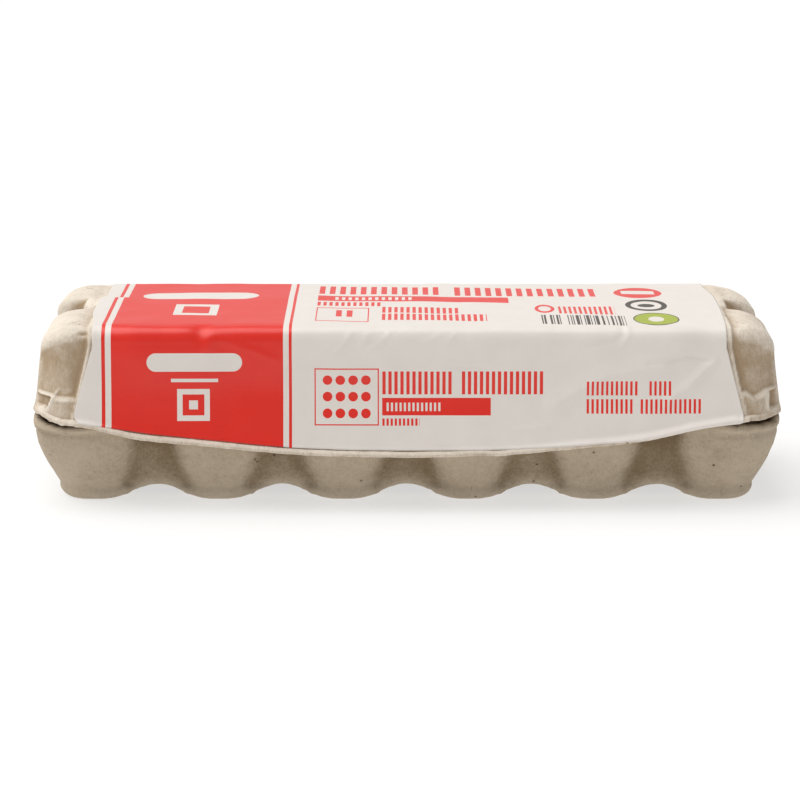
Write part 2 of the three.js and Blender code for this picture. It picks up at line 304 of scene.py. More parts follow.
def rim_depth(x, y):
    """How far a place lies in from the rim's outer edge."""
    past_x = abs(x) - (TRAY_HALF_LENGTH - RIM_ROUND)
    past_y = abs(y) - (TRAY_HALF_WIDTH - RIM_ROUND)
    if past_x > 0 and past_y > 0:
        return RIM_ROUND - math.hypot(past_x, past_y)
    return RIM_ROUND - max(past_x, past_y)


def rim_drop(x, y):
    """How far the rim lies lower towards an end, most where the flap ends at the left."""
    drop = 0.9 + 1.4 * ramp(-y, 24, 46)
    if x < 0:
        drop = 0.9 + 0.9 * ramp(-y, 20, 36) + 1.4 * ramp(x, -151, -143) * ramp(-y, 36, 46)
    return drop * ramp(abs(x), END_START_X, END_START_X + 14)


for place, normal in zip(places, vertex_rows(tray.data, "normal")):
    x, y, z = place / MM
    at_end = ramp(abs(x), END_START_X, END_START_X + END_FADE)
    torn = roughness_at(x, y, 0, 3.9, 1.3) + 0.8 * roughness_at(x, y, 0, 1.9, 5.9)

    # Slow lumps and small ones all over but for the soles, and a groove under the torn rim.
    swell = 0.35 * roughness_at(x, y, z, 14, 3.1) + 0.14 * roughness_at(x, y, z, 4.2, 7.7)
    swell -= 0.5 * at_end * ramp(z, 28.5, 30.5) * (1 - ramp(z, 31.5, 33))
    place += normal * swell * MM * ramp(z, -0.5, 3)

    # The torn rim spreads sideways and lies lower, with a ragged edge.
    at_corner = RIM_FLARE_LEFT if x < 0 else RIM_FLARE_RIGHT
    spread = 0.3 + at_corner * ramp(-y, 38, 47) + RIM_TEAR * torn
    place[:2] += normal[:2] * ramp(z, 31, 34) * at_end * spread * MM
    place[2] -= ramp(z, 31, 37) * (rim_drop(x, y) + at_end * RIM_TEAR * torn) * MM

    # Behind its edge it is hollowed, up to where the lid covers it.
    inside = rim_depth(x, y)
    hollowed = at_end * ramp(z, 36.4, 37.2) * ramp(inside, 1.5, 2.7) * (1 - ramp(inside, 8, 10))
    place[2] -= GAP_DEPTH * hollowed * MM

    # Each foot ends in a crisper edge.
    cup_x = math.copysign(min(CUP_X, key=lambda middle: abs(middle - abs(x))), x)
    off_axis = Vector((x - cup_x, y - math.copysign(CUP_Y, y)))
    at_sole = (1 - ramp(z, 3.5, 6.5)) * ramp(off_axis.length, 7, 10)
    place[:2] += off_axis.normalized() * FOOT_FLARE * at_sole * MM
tray.data.vertices.foreach_set("co", places.ravel())
for face in tray.data.polygons:
    face.use_smooth = True
tray.data.update()

tray_pulp = moulded_pulp("moulded_pulp_tray", pale="#bfb09b", deep="#7c6a50", fleck="#3f3225")
tray.data.materials.clear()
tray.data.materials.append(tray_pulp)
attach(tray, "root")
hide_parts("tray")


# ---- Lid ------------------------------------------------------------------------------------
# The upper half, moulded with the tray in one piece and folded over: drafted walls, a long
# bowed flap in front, a raised pad for the label, two lobes at each end with a groove between
# them, stepped corners for stacking, and a rolled lip that is a little torn.

HALF_LENGTH = 153.2  # of the lid at its edge
HALF_WIDTH = 53.5
RIM_CORNER = 19.0  # radius of its corners, seen from above
SEAM_Z = 37.6  # where lid and tray meet, and where the walls start to lean
LID_TOP_Z = 73.6
FRONT_DRAFT = 0.135  # how far the walls lean in per mm of height
END_DRAFT = 0.112
SIDE_ROUND = (5.2, 5.2)  # the rounding into the top, inwards and upwards
END_ROUND = (15.0, 11.8)
GROOVE_DEPTH = 14.0  # the groove between the lobes of an end
GROOVE_ROUND = 3.5

PAD_RISE = 1.3  # how far the pad under the label is raised
PAD_RIGHT = (131.6, 0.225)  # half length at the ridge, and how much it gains per mm below
PAD_LEFT = (128.8, 0.237)
RIDGE_Z = 67.0
STEP_DEPTH = 0.9  # near the corners the walls lie this far back above the ledge
RECESS_DEPTH = 2.1  # and this far back in the stacking recess under it
RECESS_FLOOR_RIGHT = 40.0  # the left one's floor follows the edge
RIB_HEIGHT = 0.7  # the upright rib beside the left recess
BEAD_REACH = 1.9  # how far the rolled lip stands out
BEAD_MIDDLE = 1.1  # height of its middle above the edge
BEAD_HALF = 1.3
LEVEL_LEFT = 37.7  # height of the lid's edge along the ends
LEVEL_RIGHT = 37.4
HINGE_EDGE_Z = 38.0  # and along the hinge, the folded strip at the back
HINGE_BOTTOM_Z = 38.05
HINGE_RADIUS = 2.2
HINGE_REACH = 3.5
HINGE_HALF = 131.0
CEILING_Z = 41.4  # the lid's underside
FLAP_HALF = 131.4
FLAP_INNER_Y = 52.62  # the flap's inner face, just clear of the tray's rim

STATION_STEP = 0.9  # between the places round the rim
FINE_STEP = 0.6
LONG_STEP = 1.3
FINE_FROM_X = 124.0
# Rings of the inner side: how far in, how high above the edge, where None is the ceiling, and
# what share of a torn inner layer hangs from it.
INNER_RINGS = [
    (3.4, None, 0), (3.2, 2.6, 0), (2.9, 1.2, 0), (2.3, 0.3, 0.8), (1.7, 0.0, 1.0),
    (1.2, 0.0, 1.0), (0.9, 0.0, 0.0), (0.4, 0.04, 0), (0.12, 0.16, 0),
]
LIP_RINGS = [0.35, 0.6, 0.9, 1.25, 1.6, 1.95, 2.25, 2.45, 2.6, 2.75, 3.1, 3.8]  # above the edge
WALL_RINGS = [(44.0, 10), (50.0, 19), (None, 17)]  # up to a height, or the rounding, in so many
ROUND_RINGS = 16
TOP_RINGS = 14
TOP_RING_SHARE = 0.045  # of the way in to the top's middle line
TOP_SPINE_HALF = 118.0

LIP_LINE = [  # along the front, and the height of the lid's lower edge there
    (-153, 38.2), (-150.5, 38.1), (-146, 36.9), (-141.6, 35.9), (-134.4, 35.6), (-129, 34.8),
    (-123.5, 33.7), (-119.6, 32.4), (-111, 30.7), (-102.4, 29.4), (-83, 27.9), (-62, 25.8),
    (-43, 24.3), (-20, 23.5), (0, 23.3), (20, 23.5), (38, 24.1), (60, 25.9), (79, 27.7),
    (94.7, 29.3), (105, 31.3), (115, 33.7), (123, 35.1), (130, 36.2), (136.7, 36.9), (153, 37.4),
]


def mix(low, high, share):
    """The number a share of the way from low to high."""
    return low + (high - low) * share


def steps(start, stop, size):
    """Even steps from start up to but not with stop."""
    count = max(1, round(abs(stop - start) / size))
    return [mix(start, stop, step / count) for step in range(count)]


def lid_stations():
    """Places round the lid's rim, each with the way out from there."""
    straight_x = HALF_LENGTH - RIM_CORNER
    straight_y = HALF_WIDTH - RIM_CORNER

    def corner(middle_x, start, stop):
        for angle in steps(start, stop, STATION_STEP / RIM_CORNER):
            out_x = math.cos(angle)
            out_y = math.sin(angle)
            half.append((middle_x + RIM_CORNER * out_x, straight_y + RIM_CORNER * out_y,
                         out_x, out_y))

    half = [(HALF_LENGTH, y, 1.0, 0.0) for y in steps(-straight_y, straight_y, STATION_STEP)]
    corner(straight_x, 0, math.pi / 2)
    for x in [*steps(straight_x, FINE_FROM_X, FINE_STEP),
              *steps(FINE_FROM_X, -FINE_FROM_X, LONG_STEP),
              *steps(-FINE_FROM_X, -straight_x, FINE_STEP)]:
        half.append((x, HALF_WIDTH, 0.0, 1.0))
    corner(-straight_x, math.pi / 2, math.pi)
    return half + [(-x, -y, -out_x, -out_y) for x, y, out_x, out_y in half]


def lid_profile(station, flank_z, angle):
    """The bare lid at a station: how far in from the rim, the height, and the way out as a
    sideways and an upward share. The angle runs over the rounding into the top."""
    _, y, out_x, _ = station
    end = out_x * out_x
    groove = 0.0
    if end > 0.99:  # only the straight end walls have it
        groove = (1 - ramp(-y, 2.5, 8.5)) * (1 - ramp(y, 12, 19))
    round_in = mix(mix(SIDE_ROUND[0], END_ROUND[0], end), GROOVE_ROUND, groove)
    round_up = mix(SIDE_ROUND[1], END_ROUND[1], end)
    draft = mix(FRONT_DRAFT, END_DRAFT, end)
    sideways = round_up * math.cos(angle)
    upward = round_in * math.sin(angle)
    length = math.hypot(sideways, upward)
    z = flank_z + round_up * math.sin(angle)
    inward = draft * (flank_z - SEAM_Z) + round_in * (1 - math.cos(angle))
    inward += GROOVE_DEPTH * groove * ramp(z, SEAM_Z - 4, LID_TOP_Z - round_up)
    return inward, z, sideways / length, upward / length


def shoulder_z(out_x):
    """Height at which the wall runs into the rounding, by which way it faces."""
    return LID_TOP_Z - mix(SIDE_ROUND[1], END_ROUND[1], out_x * out_x)


def smooth_line(knots, x):
    """Height at x of a line through knots, with its corners eased."""
    xs = [knot[0] for knot in knots]
    zs = [knot[1] for knot in knots]
    return float(np.interp([x - 4, x - 2, x, x + 2, x + 4], xs, zs).mean())


def lid_edge_z(x, y):
    """Height of the lid's lower edge: the flap's bow in front, and nearly level elsewhere."""
    level = LEVEL_LEFT if x < 0 else LEVEL_RIGHT
    # It is worn in notches of three sizes, least along the middle of the flap.
    worn = 0.42 * roughness_at(x, y, 0, 7.5, 2.2) + 0.26 * roughness_at(x, y, 0, 2.6, 4.4)
    worn += 0.2 * roughness_at(x, y, 0, 1.5, 9.1)
    if y > 0:
        past_hinge = ramp(abs(x), HINGE_HALF - 3, HINGE_HALF + 6)
        return mix(HINGE_EDGE_Z, level, past_hinge) + worn
    wave = 0.35 * math.exp(-((x - 29) / 6) ** 2) - 0.25 * math.exp(-((x - 38) / 5) ** 2)
    calm = 0.45 + 0.55 * ramp(abs(x), 118, 135)
    return mix(smooth_line(LIP_LINE, x) + wave, level, ramp(y, -47, -32)) + calm * worn


def pad_share(x, y, z):
    """1 on the raised pad, 0 beside it. Behind the front ridge it runs softly into the top."""
    top_half, gain = PAD_RIGHT if x > 0 else PAD_LEFT
    half = top_half + gain * max(RIDGE_Z - z, 0)
    soft = 5 * ramp(y, -10, 6) * ramp(z, 66, 70)
    return 1 - ramp(abs(x), half - 0.45, half + 0.45 + soft)


def ledge_z(x):
    """Height of the ledge near each corner, dipping in a V on the right."""
    if x < 0:
        return 45.7 + 0.6 * ramp(-x, 142.5, 144.5)
    return float(np.interp(x, [137, 140.7, 144.4, 146.3], [48.6, 45.9, 47.5, 48.3]))


def bead(height):
    """How far the rolled lip stands out at a height above its edge."""
    return BEAD_REACH * max(0.0, 1 - ((height - BEAD_MIDDLE) / BEAD_HALF) ** 2) ** 0.5


def flare(z):
    """How far the flap bows out towards its lower edge."""
    return 2.0 * max(0.0, (54 - z) / 29) ** 2


def sag(y, z):
    """How far the top lies lower towards the back."""
    return 0.8 * ramp(y, 5, 45) * ramp(z, 62, 72)


def lobe_relief(x, y, z, pad):
    """How much fuller the lobes and end walls are than the bare lid. No two are quite alike."""
    relief = 0.0
    lobe = ramp(abs(y), 3, 10) * ramp(z, 62, 72)
    if y < 0:
        relief += (0.5 if x < 0 else 0.2) * lobe * ramp(abs(x), 128, 141)
    elif x < 0:
        relief += lobe * (1.4 * ramp(-x, 126, 134) + 0.7 * ramp(-x, 138, 146)) * (1 - pad)
    else:
        relief += 0.4 * lobe * ramp(x, 127, 137) * (1 - pad)

    # The end walls lie back a little low down, and the left one is slacker than the right.
    wall = ramp(abs(x), 136, 149)
    relief -= (0.9 if x < 0 else 0.1) * wall * (1 - ramp(z, 54, 73))
    relief -= 1.1 * wall * ramp(y, 4, 14) * (1 - ramp(z, 65, 70))
    if x > 0:
        relief += 0.3 * ramp(x, 138, 147) * math.exp(-((z - 67) / 4) ** 2)
    else:
        relief -= 0.5 * ramp(-x, 138, 147) * math.exp(-((z - 63) / 5) ** 2)
    return relief


def corner_relief(x, y, z, edge_z, pad):
    """The stacking step near each corner: the wall lies back above a ledge, and a recess is
    sunk under the ledge, with a rib beside it on the left."""
    # The wall above the ledge, the fuller one below it, and the ledge's crisp edge.
    near_corner = ramp(abs(y), 38, 44)
    ledge = ledge_z(x)
    back = ramp(z, ledge, ledge + 1.2) * (1 - ramp(z, 57, 69))
    relief = -STEP_DEPTH * back * (1 - pad) * near_corner
    below = (1 - ramp(z, ledge - 1.2, ledge + 0.3)) * ramp(-y, 40, 50)
    relief += 0.5 * PAD_RISE * below * (1 - pad) * ramp(abs(x), 126, 132)
    relief += 0.25 * math.exp(-((z - ledge + 0.3) / 0.6) ** 2) * (1 - pad) * near_corner

    # The recess runs from the rib round the corner. The left rib leans.
    rib_x = 142.6 + 0.45 * (49 - z) if x < 0 else 147.4
    recess = ramp(abs(x), rib_x - 0.3, rib_x + 0.6) * near_corner * (1 - pad)
    floor_z = edge_z + 2.6 if x < 0 else RECESS_FLOOR_RIGHT
    recess *= ramp(z, floor_z, floor_z + 1.4) * (1 - ramp(z, ledge - 0.7, ledge - 0.1))
    relief -= RECESS_DEPTH * recess
    if x < 0:
        rib = math.exp(-((abs(x) - rib_x + 0.7) / 0.6) ** 2) * near_corner
        rib *= ramp(z, edge_z + 2.4, edge_z + 4) * (1 - ramp(z, 47.5, 50))
        relief += RIB_HEIGHT * rib
    return relief


def lid_relief(x, y, z, edge_z):
    """What stands proud of the bare lid, or lies back from it, in millimetres."""
    pad = pad_share(x, y, z)
    lip_worn = (0.75 if x < 0 else 0.9) * ramp(abs(x), 130, 148)
    relief = PAD_RISE * pad + bead(z - edge_z) * (1 - lip_worn)
    relief += lobe_relief(x, y, z, pad) + corner_relief(x, y, z, edge_z, pad) - sag(y, z)
    if y < 0:  # the flap, with a nick in the left end of the ridge
        nick = math.exp(-((x + 130.6) / 1.7) ** 2 - ((z - 71.6) / 0.7) ** 2)
        relief += flare(z) - 0.8 * nick
    else:  # the hinge, as a half roll along the back
        off_middle = (z - HINGE_BOTTOM_Z - HINGE_RADIUS) / HINGE_RADIUS
        roll = max(0.0, 1 - off_middle ** 2) ** 0.5
        relief += HINGE_REACH * roll * (1 - ramp(abs(x), HINGE_HALF - 3, HINGE_HALF + 2))
    return relief


def lid_swell(x, y, z):
    """The slow lumps and the small ones of the pulp."""
    return 0.30 * roughness_at(x, y, z, 17, 1.7) + 0.12 * roughness_at(x, y, z, 4.8, 6.1)


def lid_place(station, flank_z, angle):
    """A place on the lid's skin, in millimetres."""
    x, y, out_x, out_y = station
    inward, z, sideways, upward = lid_profile(station, flank_z, angle)
    bare_x = x - out_x * inward
    bare_y = y - out_y * inward
    proud = lid_relief(bare_x, bare_y, z, lid_edge_z(x, y)) + lid_swell(bare_x, bare_y, z)
    return Vector((
        bare_x + out_x * sideways * proud,
        bare_y + out_y * sideways * proud,
        z + upward * proud,
    ))


def next_ring(bm, ring, spots):
    """Draws a ring of edges out to new places, and gives the new ring."""
    drawn = bmesh.ops.extrude_edge_only(bm, edges=ring["edges"])["geom"]
    fresh = {vertex for vertex in drawn if isinstance(vertex, bmesh.types.BMVert)}
    verts = []
    for old in ring["verts"]:
        for edge in old.link_edges:
            other = edge.other_vert(old)
            if other in fresh:
                verts.append(other)
                break
    for vertex, spot in zip(verts, spots):
        vertex.co = spot
    edges = [edge for edge in drawn if isinstance(edge, bmesh.types.BMEdge)
             and edge.verts[0] in fresh and edge.verts[1] in fresh]
    return {"verts": verts, "edges": edges}


def inner_place(station, edge_z, inset, height):
    """A place on the lid's inner side, behind its lip."""
    x, _, out_x, out_y = station
    outer = lid_place(station, edge_z + LIP_RINGS[0], 0)
    spot = Vector((outer.x - out_x * inset, outer.y - out_y * inset, height))
    if out_y < -0.99 and abs(x) < FLAP_HALF + 2 and inset > 2.5:
        spot.y = -FLAP_INNER_Y
    return spot


def torn_layer(x, y):
    """How far a torn inner layer of pulp hangs below the lip, near the front corners."""
    if x < 0:
        share = ramp(-x, 128, 134) * (1 - ramp(-x, 146, 150)) * ramp(-y, 36, 44)
    else:
        share = 0.35 * ramp(x, 116, 128) * ramp(-y, 28, 38)
    return share * max(0.0, 0.35 + 1.3 * roughness_at(x, y, 0, 2.4, 3.3))


stations = lid_stations()
edges_z = [lid_edge_z(x, y) for x, y, _, _ in stations]
layers = [torn_layer(x, y) for x, y, _, _ in stations]
rings = []
for inset, raised, hangs in INNER_RINGS:
    rings.append([
        inner_place(s, e, inset, CEILING_Z if raised is None else e + raised - hangs * layer)
        for s, e, layer in zip(stations, edges_z, layers)
    ])
for height in LIP_RINGS:
    rings.append([lid_place(s, e + height, 0) for s, e in zip(stations, edges_z)])
starts = [e + LIP_RINGS[-1] for e in edges_z]
for stop, count in WALL_RINGS:
    stops = [stop or shoulder_z(s[2]) for s in stations]
    for step in range(1, count + 1):
        rings.append([
            lid_place(s, mix(start, end, step / count), 0)
            for s, start, end in zip(stations, starts, stops)
        ])
    starts = stops
for step in range(1, ROUND_RINGS + 1):
    angle = math.pi / 2 * step / ROUND_RINGS
    rings.append([lid_place(s, shoulder_z(s[2]), angle) for s in stations])
top_ring = rings[-1]
for step in range(1, TOP_RINGS + 1):
    share = TOP_RING_SHARE * step
    ring = []
    for spot in top_ring:
        spine_x = max(-TOP_SPINE_HALF, min(TOP_SPINE_HALF, spot.x))
        x = mix(spot.x, spine_x, share)
        y = mix(spot.y, 0, share)
        proud = lid_relief(x, y, LID_TOP_Z, 30) + lid_swell(x, y, LID_TOP_Z)
        ring.append(Vector((x, y, LID_TOP_Z + proud)))
    rings.append(ring)

bm = bmesh.new()
drawn = bmesh.ops.create_circle(bm, segments=len(stations), radius=1)["verts"]
bm.edges.ensure_lookup_table()
for vertex, spot in zip(drawn, rings[0]):
    vertex.co = spot
ring = {"verts": list(drawn), "edges": list(bm.edges)}
bmesh.ops.edgeloop_fill(bm, edges=ring["edges"])
for spots in rings[1:]:
    ring = next_ring(bm, ring, spots)
bmesh.ops.edgeloop_fill(bm, edges=ring["edges"])
bmesh.ops.scale(bm, vec=(MM, MM, MM), verts=bm.verts)
bmesh.ops.recalc_face_normals(bm, faces=bm.faces)
for face in bm.faces:
    face.smooth = len(face.verts) < 5
lid_mesh = bpy.data.meshes.new("pulp_lid")
bm.to_mesh(lid_mesh)
bm.free()
# Painted shade in the lid's hollows and on its steep walls, and painted light on its ridges and
# level tops.
paint_hollow_shade(lid_mesh, rounds=18, full_depth=1.2 * MM, steep=0.34, level=-0.37)
lid = bpy.data.objects.new("pulp_lid", lid_mesh)
scene.collection.objects.link(lid)

lid_pulp = moulded_pulp("moulded_pulp_lid", pale="#ede2d3", deep="#ae977b", fleck="#57463a")
lid_mesh.materials.append(lid_pulp)
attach(lid, "root")
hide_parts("lid")


# ---- Label ----------------------------------------------------------------------------------
# One sheet of white coated paper, printed in red with a little dark grey and green, glued over
# the pad from the flap across the top to the back. It bridges the ridge, so it is rolled
# there, and small creases run from the ridge down the front.

LABEL_CLEAR = 0.45  # between pad and sheet
LABEL_LEAST_CLEAR = 0.08
LABEL_THICKNESS = 0.22
LABEL_BOTTOM_HALF = 135.5  # half the length of its lower edge
LABEL_CORNER = 4.0  # radius of its lower corners
LABEL_BACK_Z = 44.0  # how far down it reaches at the back
FLAT_HALF_Y = 44.1  # the level part on top
FRONT_SHOULDER_Z = LID_TOP_Z - SIDE_ROUND[1]
ROUND_LENGTH = 10.0  # the length of sheet that the flat print has for each rounding
RIDGE_BRIDGE = 1.7  # how far the sheet stands off the ridge, and a little more in the middle
LIP_STEP = 0.7 * BEAD_REACH  # how far the rolled lip pushes its edge out
LABEL_PARTS = [  # the parts of the wrap, and the rows of the mesh in each
    ("front", 56), ("ridge", 18), ("top", 34), ("rear", 10), ("back", 14),
]
LABEL_LINE = [  # along the front, and the height of the sheet's lower edge there
    (-136, 37.5), (-134.9, 37.2), (-123.5, 35.5), (-119.6, 35.0), (-102.4, 32.5), (-83, 30.7),
    (-62, 28.7), (-43, 27.1), (-20, 26.3), (0, 26.1), (20, 26.2), (38, 26.5), (60, 27.7),
    (74.5, 28.8), (94.7, 30.2), (105, 32.1), (115, 34.3), (125, 35.9), (137, 37.0),
]


def label_side(side, z, y):
    """How far the sheet reaches to one side at a height, or on the top at a depth."""
    if side > 0:
        reach = 129.2 + 0.261 * max(RIDGE_Z - z, 0)
        if z > RIDGE_Z:  # on the top this end bows out, and draws in behind
            reach += 1.2 * math.cos(max(-1.0, min(1.0, y / 46)) * math.pi / 2)
            reach -= 1.6 * ramp(y, 10, 42)
        return reach
    reach = 126.8 + 0.284 * max(RIDGE_Z - z, 0)
    if z > RIDGE_Z:  # and the left end slants out, and steps in where the print does
        reach += 2.4 * ramp(y, -46, -20)
        reach -= 2.2 * ramp(y, 8, 13)
    return reach


# Creases as runs of places along and up the flat print, with their height and half width.
LABEL_CREASES = [
    ([(-28.2, 65.5), (-22.4, 71.5)], 0.30, 1.5),
    ([(-19.0, 67.5), (-15.4, 71.5)], 0.22, 1.3),
    ([(-16.0, 65.5), (-6.8, 71.5)], 0.30, 1.5),
    ([(4.8, 67.5), (12.9, 71)], 0.22, 1.3),
    ([(15.2, 67.5), (19.8, 71.5)], 0.22, 1.3),
    ([(86.6, 75), (87.4, 71.4), (83.8, 69.2), (74, 67.8)], -0.28, 1.5),
    ([(89.2, 75), (90.0, 71.4), (86.8, 67.6)], 0.26, 1.4),
    ([(60.6, 44.9), (80.9, 56.2), (104, 60.3)], 1.0, 6.0),
    ([(98, 60.6), (106, 61.2), (113.5, 63.4), (122.5, 61.5)], -0.7, 2.2),
    ([(123.6, 61), (114.4, 52), (106, 46)], 0.9, 3.5),
    ([(44, 34.2), (57, 35.6)], 0.35, 1.8),
    ([(-48, 58.0), (-27.5, 60.6), (1.2, 60.2), (30, 59.4)], -0.35, 3.2),
    ([(20, 59.4), (48, 57.5), (70, 50)], -0.25, 4.0),
    ([(-79, 71.5), (-62, 66), (-52, 62)], 0.28, 2.6),
]
CREASE_REACH = 9.0  # wider than any of them
LABEL_DENTS = [  # along, up, height and radius
    (-82.6, 73.2, -0.9, 3.6), (-79.4, 68.8, 0.6, 3.2), (98, 47, 0.35, 11), (64, 64, -0.35, 7),
    (30, 66, 0.3, 8), (-104, 52, 0.25, 12), (-70, 60, -0.25, 9), (118, 70, -0.3, 7),
]


def crease_height(u, w):
    """How far the creases and dents raise the sheet at a place in the flat print."""
    height = 0.0
    for run, peak, half_width in LABEL_CREASES:
        nearest = math.inf
        for (u0, w0), (u1, w1) in zip(run, run[1:]):
            if min(u0, u1) - CREASE_REACH > u or max(u0, u1) + CREASE_REACH < u:
                continue
            span = (u1 - u0) ** 2 + (w1 - w0) ** 2
            share = max(0.0, min(1.0, ((u - u0) * (u1 - u0) + (w - w0) * (w1 - w0)) / span))
            distance = math.hypot(u - mix(u0, u1, share), w - mix(w0, w1, share))
            nearest = min(nearest, distance)
        height += peak * max(0.0, 1 - nearest / half_width) ** 1.3
    for u0, w0, peak, radius in LABEL_DENTS:
        height += peak * math.exp(-((u - u0) ** 2 + (w - w0) ** 2) / radius ** 2)
    return height


def label_place(across, part, share):
    """A place on the sheet, in millimetres, with its place in the flat print. Across runs from
    -1 to 1, and the share says how far along its part of the wrap the place is."""
    side = 1 if across > 0 else -1
    facing = -1 if part in ("front", "ridge", "top") else 1
    station = (0.0, facing * HALF_WIDTH, 0.0, float(facing))
    low = smooth_line(LABEL_LINE, across * LABEL_BOTTOM_HALF)
    from_edge = LABEL_BOTTOM_HALF * (1 - abs(across))
    corner = LABEL_CORNER - (1.2 if side > 0 else 0)
    if from_edge < corner:
        low += corner - math.sqrt(corner ** 2 - (corner - from_edge) ** 2)

    # Where the sheet would lie on the bare lid, at z and y, and at w in the flat print.
    angle = 0.0
    flank = FRONT_SHOULDER_Z
    if part == "front":
        flank = mix(low, FRONT_SHOULDER_Z, share)
        w = flank
    elif part == "ridge":
        angle = math.pi / 2 * share
        w = FRONT_SHOULDER_Z + ROUND_LENGTH * share
    elif part == "top":
        w = FRONT_SHOULDER_Z + ROUND_LENGTH + 2 * FLAT_HALF_Y * share
    elif part == "rear":
        angle = math.pi / 2 * (1 - share)
        w = FRONT_SHOULDER_Z + ROUND_LENGTH + 2 * FLAT_HALF_Y + ROUND_LENGTH * share
    else:
        flank = mix(FRONT_SHOULDER_Z, LABEL_BACK_Z, share)
        w = 2 * FRONT_SHOULDER_Z + 2 * ROUND_LENGTH + 2 * FLAT_HALF_Y - flank
    inward, z, sideways, upward = lid_profile(station, flank, angle)
    y = facing * (HALF_WIDTH - inward)
    if part == "top":
        y = mix(-FLAT_HALF_Y, FLAT_HALF_Y, share)
        sideways = 0.0
        upward = 1.0
        z = LID_TOP_Z
    x = side * abs(across) * label_side(side, z, y)

    # How far it stands proud of that: over the pad and the lip, off the ridge, and creased.
    swell = lid_swell(x, y, z)
    proud = PAD_RISE + LABEL_CLEAR + 0.30 * roughness_at(x, y, z, 17, 1.7) - sag(y, z)
    if part == "front":
        height = z - lid_edge_z(x, -HALF_WIDTH)
        proud += LIP_STEP * (1 - ramp(height, 1.3, 3.7))
        proud += 0.2 * (1 - ramp(z - low, 0, 4)) * (0.6 + roughness_at(x, 0, 0, 12, 8.8))
        proud += flare(z)
        swell += bead(height) + flare(z)
    if part in ("front", "ridge"):
        over = (RIDGE_BRIDGE + 0.5 * math.exp(-((x - 25) / 45) ** 2)) * ramp(z, 47, 68)
        over *= 1 - 0.85 * ramp(abs(x), 108, 125)
        proud += over * (1 - ramp(angle, 0.5, 1.45))
    if part in ("front", "ridge", "top"):
        proud += crease_height(x, w)
    proud += 0.16 * roughness_at(x, y, z, 26, 9.3) + 0.05 * roughness_at(x, y, z, 6, 2.9)
    least = PAD_RISE + swell - sag(y, z) + LABEL_THICKNESS + LABEL_LEAST_CLEAR
    proud = max(proud, least)
    return Vector((x, y + facing * sideways * proud, z + upward * proud)), (x, w)


# The columns lie closer together at the rounded corners.
wide = 2 * LABEL_BOTTOM_HALF
columns = [
    x / LABEL_BOTTOM_HALF - 1
    for x in [*steps(0, 4, 0.5), *steps(4, wide - 4, 1.05), *steps(wide - 4, wide, 0.5)]
]
columns.append(1.0)
rows = [("front", 0.0)]
for part, count in LABEL_PARTS:
    rows += [(part, step / count) for step in range(1, count + 1)]

bm = bmesh.new()
bmesh.ops.create_grid(bm, x_segments=len(columns) - 1, y_segments=len(rows) - 1, size=1)
print_map = bm.loops.layers.uv.new("print")
flat_places = {}
for vertex in bm.verts:
    column = round((vertex.co.x + 1) / 2 * (len(columns) - 1))
    row = round((vertex.co.y + 1) / 2 * (len(rows) - 1))
    spot, flat = label_place(columns[column], *rows[row])
    vertex.co = spot
    flat_places[vertex] = flat
for face in bm.faces:
    face.smooth = True
    for loop in face.loops:
        loop[print_map].uv = flat_places[loop.vert]
bmesh.ops.recalc_face_normals(bm, faces=bm.faces)
bmesh.ops.scale(bm, vec=(MM, MM, MM), verts=bm.verts)
bmesh.ops.solidify(bm, geom=bm.faces, thickness=LABEL_THICKNESS * MM)
label_mesh = bpy.data.meshes.new("paper_label")
bm.to_mesh(label_mesh)
bm.free()
label = bpy.data.objects.new("paper_label", label_mesh)
scene.collection.objects.link(label)


def top_w(y):
    """Where a depth on the top lies in the flat print."""
    return FRONT_SHOULDER_Z + ROUND_LENGTH + FLAT_HALF_Y + y


